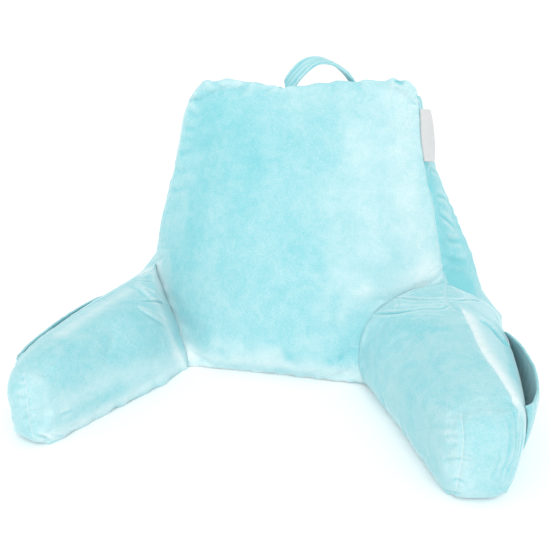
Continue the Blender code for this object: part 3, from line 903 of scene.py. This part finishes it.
def keepApart(piece, side, outward):
    # keep a sewn piece on its own side of the arm's interface, all over its flat root
    point, normal = seamPlane(side)
    points = readPoints(piece)
    x, _, z = (points - shiftArray).T
    origin, away = np.array(point + frameShift), np.array(normal)
    far = (points - origin) @ away * outward
    clear = cut["sewnGap"] / 2
    over = far < clear
    if outward > 0:
        over &= (side * x > rootHalf(side, z, "inFull") - rootRound) & (far > -rootDeep)
        over &= (side * x < rootHalf(side, z, "outFull") + rootRound)
        over &= z < rootHeight[side] + rootRound
    points[over] += ((clear - far[over]) * outward)[:, None] * away
    writeOnFloor(piece, points)
    # the flat root and the base are shaded apart from the cloth beside them
    far = (points - origin) @ away * outward
    flat = (np.abs(far - clear) < 0.2 * mm) | (points[:, 2] < 0.1 * mm)
    ends = np.zeros(len(piece.data.edges) * 2, np.int32)
    piece.data.edges.foreach_get("vertices", ends)
    crisp = flat[ends.reshape(-1, 2)].all(1)
    sharp = piece.data.attributes.get("sharp_edge")
    if sharp is None:
        sharp = piece.data.attributes.new("sharp_edge", "BOOLEAN", "EDGE")
    before = np.zeros(len(crisp), bool)
    sharp.data.foreach_get("value", before)
    sharp.data.foreach_set("value", before | crisp)
    piece.data.update()


pocketPiece = {
    # for each side: its front at the mouth, how much further back its foot starts, its rear, how
    # high its mouth is in front and behind, and how wide it gapes
    -1: {"front": -0.205, "slant": 0.02, "rear": 0.040, "mouthFront": 0.088, "mouthRear": 0.091,
         "gape": 0.009},
    1: {"front": -0.196, "slant": 0.03, "rear": 0.024, "mouthFront": 0.099, "mouthRear": 0.100,
        "gape": 0.020},
    "foot": 0.010,
    "rise": 1.3,
    "round": 0.7,
    "cloth": 2.2 * mm,
    "hem": 13 * mm,            # depth of the turned hem at the mouth
    "hemCloth": 0.9 * mm,      # how much thicker the hem is
    "stitchGap": 0.8 * mm,
    "inset": 5 * mm,           # its stitching's distance from its edges
    "stitchWide": 1.6 * mm,
    "stitchDeep": 0.8 * mm,
    "hemStitchWide": 1.4 * mm,
    "ruffle": 1.1 * mm,
    "ruffleReach": 40 * mm,    # how far it runs in from the ends
    "ruffleRest": 0.35,        # what is left of it in the middle
    "cells": (110, 42),
}


def twoSided(name, columns, rows, point):
    # a closed sheet from an inner and an outer grid of points, rimmed all round
    grid = bmesh.new()
    bmesh.ops.create_grid(grid, x_segments=columns, y_segments=rows, size=1.0)
    places = {vert: tuple(vert.co) for vert in grid.verts}
    rims = [edge for edge in grid.edges if edge.is_boundary]
    copied = bmesh.ops.duplicate(grid, geom=grid.verts[:] + grid.edges[:] + grid.faces[:])
    twins = {old: new for old, new in copied["vert_map"].items() if old in places}
    rims += [edge for edge in grid.edges if edge.is_boundary and edge not in rims]
    for old, (u, v, _) in places.items():
        old.co = point((u + 1) / 2, (v + 1) / 2, 0.0)
        twins[old].co = point((u + 1) / 2, (v + 1) / 2, 1.0)
    bmesh.ops.bridge_loops(grid, edges=rims)
    return toPiece(name, grid)


def makePocket(side, armTree):
    # a patch pocket sewn along its foot and both ends, its hemmed mouth gaping
    sizes = pocketPiece[side]

    def point(along, up, outer):
        y = mix(sizes["front"] + sizes["slant"] * (1 - up), sizes["rear"], along)
        mouth = mix(sizes["mouthFront"], sizes["mouthRear"], along)
        z = mix(pocketPiece["foot"], mouth, up)
        start = Vector((side * 1.0, y, z)) + frameShift
        place, normal, _, _ = armTree.ray_cast(start, Vector((-side, 0.0, 0.0)))
        opened = max(math.sin(math.pi * along**0.7), 0) ** pocketPiece["round"]
        opened *= up ** pocketPiece["rise"]
        below = (1 - up) * (mouth - pocketPiece["foot"])
        hem = min(max((pocketPiece["hem"] - below) / (1.5 * mm), 0), 1)
        stitch = math.exp(-((below - pocketPiece["hem"]) / pocketPiece["hemStitchWide"]) ** 2)
        edge = min(along, 1 - along) * (sizes["rear"] - sizes["front"])
        nearest = [(reach - pocketPiece["inset"]) / pocketPiece["stitchWide"]
                   for reach in (edge, z - pocketPiece["foot"])]
        sewn = max(math.exp(-reach**2) for reach in nearest)
        ruffle = pocketPiece["ruffle"] * (0.5 + 0.5 * math.sin(along * 34 + 2.2 * math.sin(along * 11)))
        ruffle *= math.exp(-(edge / pocketPiece["ruffleReach"]) ** 2) + pocketPiece["ruffleRest"]
        thick = pocketPiece["cloth"] + hem * pocketPiece["hemCloth"]
        thick -= pocketPiece["stitchDeep"] * max(stitch, sewn)
        away = pocketPiece["stitchGap"] + sizes["gape"] * opened
        away += ruffle * min(up * 3, 1) * min(edge / (8 * mm), 1) + thick * outer
        lean = Vector((side, 0.0, 0.0)).lerp(normal, 0.5).normalized()
        return place + lean * away

    piece = twoSided("pocket_cloth_" + sideWord[side], *pocketPiece["cells"], point)
    tall = (sizes["mouthFront"] + sizes["mouthRear"]) / 2 - pocketPiece["foot"]
    inset = pocketPiece["inset"] / (sizes["rear"] - sizes["front"])
    low, high = pocketPiece["inset"] / tall, 1 - pocketPiece["hem"] / tall
    even = np.linspace(0, 1, 60)
    lines = [[(mix(inset, 1 - inset, t), high) for t in even],
             [(inset, mix(1, low, t)) for t in even],
             [(mix(inset, 1 - inset, t), low) for t in even],
             [(1 - inset, mix(low, 1, t)) for t in even]]
    paths = [np.array([tuple(point(along, up, 1.0)) for along, up in line]) for line in lines]
    return piece, paths


handlePiece = {
    "y": 0.205,
    "rows": {
        "x": (-0.0325, -0.0185, -0.001, 0.020, 0.043, 0.065, 0.083),
        "z": (0.435, 0.454, 0.4695, 0.4765, 0.4725, 0.458, 0.438),
        "turn": (42.0, 52.0, 44.0, 18.0, -4.0, -17.0, -21.0),   # degrees
    },
    "width": 0.032,
    "cloth": 0.0048,
    "round": (0.75, 0.6),      # across and through; 1 would be an ellipse, less is squarer
    "pleat": 0.9 * mm,
    # the pleats' crests painted paler, a painted highlight, and the folds between them deeper, painted
    # shade
    "pleatPaintedLight": 0.22,
    "pleatFrom": 0.09,         # the part of its length where its pleats begin
    "pleatBlend": 0.08,
    "stitchAt": 0.40,          # parts of its width from its middle
    "stitchWide": 0.03,
    "stitchDeep": 0.5 * mm,
    "tab": 0.008,
    "bend": 0.007,             # from the last row to where its sewn end lies flat
    "sink": 4.5,               # mm that a sewn end presses the back's top down
    "sinkWide": 17.0,          # mm, how far round it
    "lay": -18.0,              # degrees, its sewn ends lie on the top's backward fall
    "clear": 1.2 * mm,
    "cells": (130, 44),
}


def makeHandle(backTree):
    # a soft strap that stands up in an arch, its ends sewn flat on the back's top
    rows = handlePiece["rows"]
    lift = handlePiece["clear"] + handlePiece["cloth"] / 2

    def sewnAt(x):
        start = Vector((x, handlePiece["y"], 1.0)) + frameShift
        under = backTree.ray_cast(start, Vector((0, 0, -1)))[0]
        return x, under.z + lift, handlePiece["lay"]

    run = list(zip(rows["x"], rows["z"], rows["turn"]))
    for reach in (handlePiece["bend"], handlePiece["bend"] + handlePiece["tab"]):
        run = [sewnAt(rows["x"][0] - reach), *run, sewnAt(rows["x"][-1] + reach)]
    run = np.array(run)
    lengths = np.hypot(np.diff(run[:, 0]), np.diff(run[:, 1]))
    keys = np.concatenate([[0], np.cumsum(lengths)])
    table = {"key": keys, "x": run[:, 0], "z": run[:, 1], "turn": run[:, 2]}
    columns, around = handlePiece["cells"]
    where = np.linspace(0, keys[-1], columns)
    x, z, turn = (valueAt(table, name, where) for name in ("x", "z", "turn"))
    grid = bmesh.new()
    loops = []
    lieAndPaintedLight = []
    for spot in range(columns):
        before, after = max(spot - 1, 0), min(spot + 1, columns - 1)
        forward = Vector((x[after] - x[before], 0, z[after] - z[before])).normalized()
        sideways = Matrix.Rotation(math.radians(turn[spot]), 3, forward) @ Vector((0, 1, 0))
        upward = -forward.cross(sideways).normalized()
        place = Vector((x[spot], handlePiece["y"], z[spot])) + frameShift
        walked = where[spot] / keys[-1]
        ends = min(walked, 1 - walked)
        pleated = min(max((ends - handlePiece["pleatFrom"]) / handlePiece["pleatBlend"], 0), 1)
        ring = []
        for step in range(around):
            angle = 2 * math.pi * step / around
            s, u = (math.copysign(abs(turned) ** power, turned) / 2 for turned, power
                    in zip((math.cos(angle), math.sin(angle)), handlePiece["round"]))
            face = 1 if u > 0 else -1
            lines = math.cos(s * 23 + 2.0 * math.sin(walked * 7) + (1.3 if u < 0 else 0))
            lines += 0.5 * math.cos(s * 41 - 3.1 * math.sin(walked * 5 + 1) + 2)
            fold = handlePiece["pleat"] * pleated * lines * face * min(abs(u) * 4, 1)
            # painted highlight on the pleats' crests, painted shade between them
            lieAndPaintedLight.append(handlePiece["pleatPaintedLight"] * pleated * lines)
            seamed = math.exp(-((abs(s) - handlePiece["stitchAt"]) / handlePiece["stitchWide"]) ** 2)
            out = handlePiece["cloth"] * u + fold - seamed * handlePiece["stitchDeep"] * face
            ring.append(grid.verts.new(place + sideways * handlePiece["width"] * s + upward * out))
        loops.append([grid.edges.new((ring[i - 1], ring[i])) for i in range(around)])
    for near, far in zip(loops, loops[1:]):
        bmesh.ops.bridge_loops(grid, edges=near + far)
    bmesh.ops.holes_fill(grid, edges=loops[0] + loops[-1], sides=around)
    made = toPiece("handle_strap", grid)
    writeLayer(made, "lieAndPaintedLight", np.array(lieAndPaintedLight))
    return made


labelPiece = {
    "top": 0.408,
    "length": 0.082,
    "width": 0.016,
    "bow": 0.006,
    "behind": 0.003,
    "curl": 0.003,             # how far it bends towards the front
    "flare": 1.0 * mm,
    "ribbon": 0.5 * mm,        # one layer of the folded ribbon
    "fold": 0.9 * mm,          # how far apart its two layers stand
    "gap": -0.5 * mm,          # its edges are caught in the seam
    "cells": (44, 40),
}


def makeLabel():
    # a woven ribbon folded lengthwise, its two edges held in the right front seam

    def point(along, over, outer):
        z = labelPiece["top"] - labelPiece["length"] * along
        y = float(valueAt(seamTable, "y", z)) + labelPiece["behind"]
        edge = Vector((float(valueAt(seamTable, "right", z)), y, z)) + frameShift
        wide = labelPiece["width"] + labelPiece["bow"] * math.sin(math.pi * along) ** 0.8
        # over runs from one sewn edge round the fold, at its middle, to the other edge
        front = math.cos(math.pi * over)
        out = 1 - abs(2 * over - 1) ** 2.6
        apart = labelPiece["fold"] * math.copysign(min(abs(front) * 1.8, 1), front) / 2
        apart += labelPiece["ribbon"] * (outer - 0.5) * (1 if front > 0 else -1) * min(abs(front) * 3, 1)
        tip = labelPiece["ribbon"] * (outer - 0.5) * (1 - min(abs(front) * 1.5, 1))
        x = edge.x + labelPiece["gap"] + wide * out + tip
        bend = labelPiece["curl"] * out**2 * (1 + 0.5 * math.sin(along * 5))
        flare = labelPiece["flare"] * out * math.cos(along * 2 * math.pi)
        return Vector((x, edge.y - bend - apart + flare, z))

    return twoSided("label_ribbon", *labelPiece["cells"], point)


def colour(code):
    # an sRGB hex colour as linear red, green, blue and alpha
    parts = [int(code[spot:spot + 2], 16) / 255 for spot in (1, 3, 5)]
    return [p / 12.92 if p <= 0.04045 else ((p + 0.055) / 1.055) ** 2.4 for p in parts] + [1.0]


def addNode(tree, kind, inputs=None, **settings):
    node = tree.nodes.new(kind)
    for name, value in settings.items():
        setattr(node, name, value)
    for name, value in (inputs or {}).items():
        if isinstance(value, bpy.types.NodeSocket):
            tree.links.new(value, node.inputs[name])
        else:
            node.inputs[name].default_value = value
    return node


def addMath(tree, operation, first, second):
    node = addNode(tree, "ShaderNodeMath", {0: first, 1: second}, operation=operation)
    return node.outputs["Value"]


def addRange(tree, value, fromLow, fromHigh, toLow, toHigh):
    node = addNode(tree, "ShaderNodeMapRange", {
        "Value": value, "From Min": fromLow, "From Max": fromHigh, "To Min": toLow,
        "To Max": toHigh}, interpolation_type="SMOOTHSTEP")
    return node.outputs["Result"]


def addNoise(tree, place, across, detail, roughness, distortion=0.0):
    # across is in mm
    return addNode(tree, "ShaderNodeTexNoise", {
        "Vector": place, "Scale": 1000 / across, "Detail": detail, "Roughness": roughness,
        "Distortion": distortion}).outputs["Fac"]


def addMix(tree, part, first, second):
    return addNode(tree, "ShaderNodeMix", {"Factor": part, "A": first, "B": second},
                   data_type="RGBA").outputs["Result"]


def addBump(tree, height, strength, distance, *under):
    inputs = {"Height": height, "Strength": strength, "Distance": distance}
    inputs.update({"Normal": normal for normal in under})
    return addNode(tree, "ShaderNodeBump", inputs).outputs["Normal"]


def newMaterial(name, looks):
    made = bpy.data.materials.new(name)
    made.use_nodes = True
    shader = made.node_tree.nodes["Principled BSDF"]
    for look, value in looks.items():
        shader.inputs[look].default_value = value
    return made, made.node_tree, shader


velour = {
    "deep": "#83CCD4",         # the velour's own aqua, pile seen end on; painted shade pulls the cloth towards it
    "pale": "#ECF3F3",         # whitened aqua: pile brushed flat, and the painted sheen and highlights that the mesh carries
    "patch": 60.0,             # mm across a brushed patch
    "stroke": 16.0,            # mm across a brush stroke
    "grain": 2.2,              # mm, a tuft of pile, drawn coarser than the real 0.3
    "patchPale": 0.09,
    "strokePale": 0.12,
    "grainPale": 0.20,
    "seamLineHighlight": 0.4,           # painted highlight along a seam's rolled edge: how much its line shows
    "looks": {
        "Roughness": 0.92,
        "Specular IOR Level": 0.1,
        "Sheen Weight": 0.8,
        "Sheen Roughness": 0.35,
        "Sheen Tint": colour("#F4FDFF"),
    },
}


def velourMaterial(name, seed):
    # polyester velour: short upright pile, its aqua whitened at random by brushed patches, strokes and
    # tufts, and by the painted light and shade that the mesh carries
    made, tree, shader = newMaterial(name, velour["looks"])
    where = addNode(tree, "ShaderNodeTexCoord").outputs["Object"]
    moved = addNode(tree, "ShaderNodeMapping", {"Vector": where, "Location": (seed, seed * 0.7, 0.3)})
    moved = moved.outputs["Vector"]
    patches = addNoise(tree, moved, velour["patch"], 2.0, 0.5, 0.5)
    strokes = addNoise(tree, moved, velour["stroke"], 3.0, 0.65, 0.6)
    grain = addNoise(tree, where, velour["grain"], 2.0, 0.7)
    # the painted light and shade, with brushed pile, that the mesh carries, then brushed patches,
    # fainter strokes inside them, then single tufts
    lieAndPaintedLight = addNode(tree, "ShaderNodeAttribute", attribute_name="lieAndPaintedLight").outputs["Fac"]
    lieAndPaintedLight = addMath(tree, "ADD", lieAndPaintedLight, addRange(tree, patches, 0.3, 0.7, 0.0, velour["patchPale"]))
    lieAndPaintedLight = addMath(tree, "ADD", lieAndPaintedLight, addRange(tree, strokes, 0.3, 0.7, 0.0, velour["strokePale"]))
    lieAndPaintedLight = addMath(tree, "ADD", lieAndPaintedLight, addRange(tree, grain, 0.25, 0.75, 0.0, velour["grainPale"]))
    cloth = addMix(tree, lieAndPaintedLight, colour(velour["deep"]), colour(velour["pale"]))
    # the seam's own line, a painted highlight along its rolled edge, from the distances that the mesh
    # carries
    seam = addNode(tree, "ShaderNodeAttribute", attribute_name="seam").outputs["Vector"]
    away = addNode(tree, "ShaderNodeSeparateXYZ", {"Vector": seam}).outputs
    line = addRange(tree, addMath(tree, "ABSOLUTE", away["X"], 0.0), 0.2 * mm, 1.1 * mm, 1.0, 0.0)
    line = addMath(tree, "MULTIPLY", line, addRange(tree, away["Y"], 3 * mm, 6 * mm, 1.0, 0.0))
    # painted highlight: the cloth is mixed towards the pale colour along the seam
    shown = addMath(tree, "MULTIPLY", line, velour["seamLineHighlight"])
    bumps = addBump(tree, grain, 0.35, 0.7 * mm)
    bumps = addBump(tree, strokes, 0.3, 1.5 * mm, bumps)
    bumps = addBump(tree, addMath(tree, "MULTIPLY", line, -1.0), 0.4, 0.8 * mm, bumps)
    tree.links.new(addMix(tree, shown, cloth, colour(velour["pale"])), shader.inputs["Base Color"])
    tree.links.new(bumps, shader.inputs["Normal"])
    return made


wavesInOne = 20            # the wave texture's phase turns by this for each unit, in radians
ribbon = {
    "dark": "#C9C9C9",
    "light": "#D8D8D8",
    "rib": 1.7765,             # mm from rib to rib
    "looks": {"Roughness": 0.55, "Sheen Weight": 0.2},
}


def ribbonMaterial():
    # woven polyester ribbon: fine grey ribs across a smooth satin face
    made, tree, shader = newMaterial("woven polyester ribbon", ribbon["looks"])
    where = addNode(tree, "ShaderNodeTexCoord").outputs["Object"]
    ribs = addNode(tree, "ShaderNodeTexWave", {
        "Vector": where, "Scale": 1000 / ribbon["rib"] * 2 * math.pi / wavesInOne,
        "Distortion": 0.4, "Detail": 1.0}, wave_type="BANDS", bands_direction="Z").outputs["Fac"]
    cloth = addMix(tree, ribs, colour(ribbon["dark"]), colour(ribbon["light"]))
    tree.links.new(cloth, shader.inputs["Base Color"])
    tree.links.new(addBump(tree, ribs, 0.4, 0.15 * mm), shader.inputs["Normal"])
    return made


studio = {
    "horizon": 1.0,            # the dome's strength all round
    "overhead": 0.90,          # its strength from above
    "blend": (0.03, 0.25),     # where one passes into the other, as the height of a direction
    "tableHalf": 14.0,
    "table": {
        "Base Color": colour("#F8F8F8"),
        "Roughness": 0.9,
        "Specular IOR Level": 0.1,
        "Emission Color": (1, 1, 1, 1),
        "Emission Strength": 0.08,      # the white table is lit from inside
    },
    "suns": {
        # name: direction it comes from, strength, width in degrees
        "key": ((0.40, -0.85, 1.1), 0.65, 30),
        "front": ((0.10, -1.0, 0.45), 0.36, 25),
        "fill": ((-1.0, -0.8, 0.7), 0.10, 60),
    },
}


def stageAndLight():
    grid = bmesh.new()
    bmesh.ops.create_grid(grid, x_segments=1, y_segments=1, size=studio["tableHalf"])
    floor = toPiece("floor", grid, closed=False)
    table, _, _ = newMaterial("white translucent acrylic table", studio["table"])
    floor.data.materials.append(table)
    world = bpy.data.worlds.new("studio")
    world.use_nodes = True
    sky = world.node_tree
    toward = addNode(sky, "ShaderNodeTexCoord").outputs["Generated"]
    height = addNode(sky, "ShaderNodeSeparateXYZ", {"Vector": toward}).outputs["Z"]
    strength = addRange(sky, height, *studio["blend"], studio["horizon"], studio["overhead"])
    sky.nodes["Background"].inputs["Color"].default_value = (1, 1, 1, 1)
    sky.links.new(strength, sky.nodes["Background"].inputs["Strength"])
    scene.world = world
    for name, (source, strength, width) in studio["suns"].items():
        data = bpy.data.lights.new(name, "SUN")
        data.energy = strength
        data.angle = math.radians(width)
        made = bpy.data.objects.new(name, data)
        made.rotation_euler = Vector(source).to_track_quat("Z", "Y").to_euler()
        scene.collection.objects.link(made)
    scene.view_settings.view_transform = "Standard"


back, backSeams = makeBack()
arms, feet = {}, {}
for side in (-1, 1):
    arms[side], feet[side] = makeArm(side)
trees = {piece: treeOf(piece) for piece in (back, arms[-1], arms[1])}
print("stuffed forms made")


def seamSeen(name, *pieces):
    # the path of a seam through its pixels, on the nearest of these pieces
    return smoothPath(onCloth([trees[piece] for piece in pieces], seamPixels[name]))


rightFront = seamSeen("rightFront", *trees)
rightTop = seamSeen("rightTop", arms[1])
mirrored = (rightTop - shiftArray) * np.array((-1, 1, 1)) + shiftArray
stuffedPieces = {
    back: {
        "node": "back",
        "seams": [*[(onto(trees[back], path), seam) for path, seam in backSeams],
                  (rootRim(-1), rootSeam), (rootRim(1), rootSeam), (rightFront, frontSeam)],
        "creases": backCreases,
        "strokes": backPileAndShadingStrokes,
    },
    arms[-1]: {
        "node": "arm_left",
        "seams": [(onto(trees[arms[-1]], mirrored), armSeam),
                  (seamSeen("leftDart", arms[-1]), dartSeam), (rootRim(-1), rootSeam),
                  (onto(trees[arms[-1]], feet[-1]), leftFoot)],
        "creases": leftArmCreases,
        "strokes": leftArmPileAndShadingStrokes,
    },
    arms[1]: {
        "node": "arm_right",
        "seams": [(rightFront, frontSeam), (rightTop, armSeam),
                  (seamSeen("rightDart", arms[1]), dartSeam), (rootRim(1), rootSeam),
                  (onto(trees[arms[1]], feet[1]), rightFoot)],
        "creases": rightArmCreases,
        "strokes": rightArmPileAndShadingStrokes,
    },
}

for piece, made in stuffedPieces.items():
    lieAndPaintedLight = np.zeros(len(piece.data.vertices))
    for path, seam in made["seams"]:
        gather(piece, path, seam, lieAndPaintedLight)
    pressCreases(piece, trees[piece], made["creases"], lieAndPaintedLight)
    shown = treeOf(piece)
    markSeams(piece, [onto(shown, path) for path, seam in made["seams"] if seam["line"]])
    brushAndShade(piece, trees[piece], made["strokes"], lieAndPaintedLight)
for side in (-1, 1):
    keepApart(arms[side], side, -1)
    keepApart(back, side, 1)
print("seams gathered and creases pressed")

pockets = {}
for side in (-1, 1):
    pockets[side], stitching = makePocket(side, treeOf(arms[side]))
    markSeams(pockets[side], stitching)
handle = makeHandle(treeOf(back))
markSeams(handle, [])
label = makeLabel()
print("pockets, handle and label made")


def dress(piece, node, finish):
    piece.data.materials.append(finish)
    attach(piece, "root")
    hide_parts(node)


velourPieces = [*[(piece, made["node"]) for piece, made in stuffedPieces.items()],
                (pockets[-1], "pocket_left"), (pockets[1], "pocket_right"), (handle, "handle")]
for seed, (piece, node) in enumerate(velourPieces):
    finish = velourMaterial("short pile velour, " + node.replace("_", " "), seed * 1.7)
    dress(piece, node, finish)
dress(label, "label", ribbonMaterial())

stageAndLight()
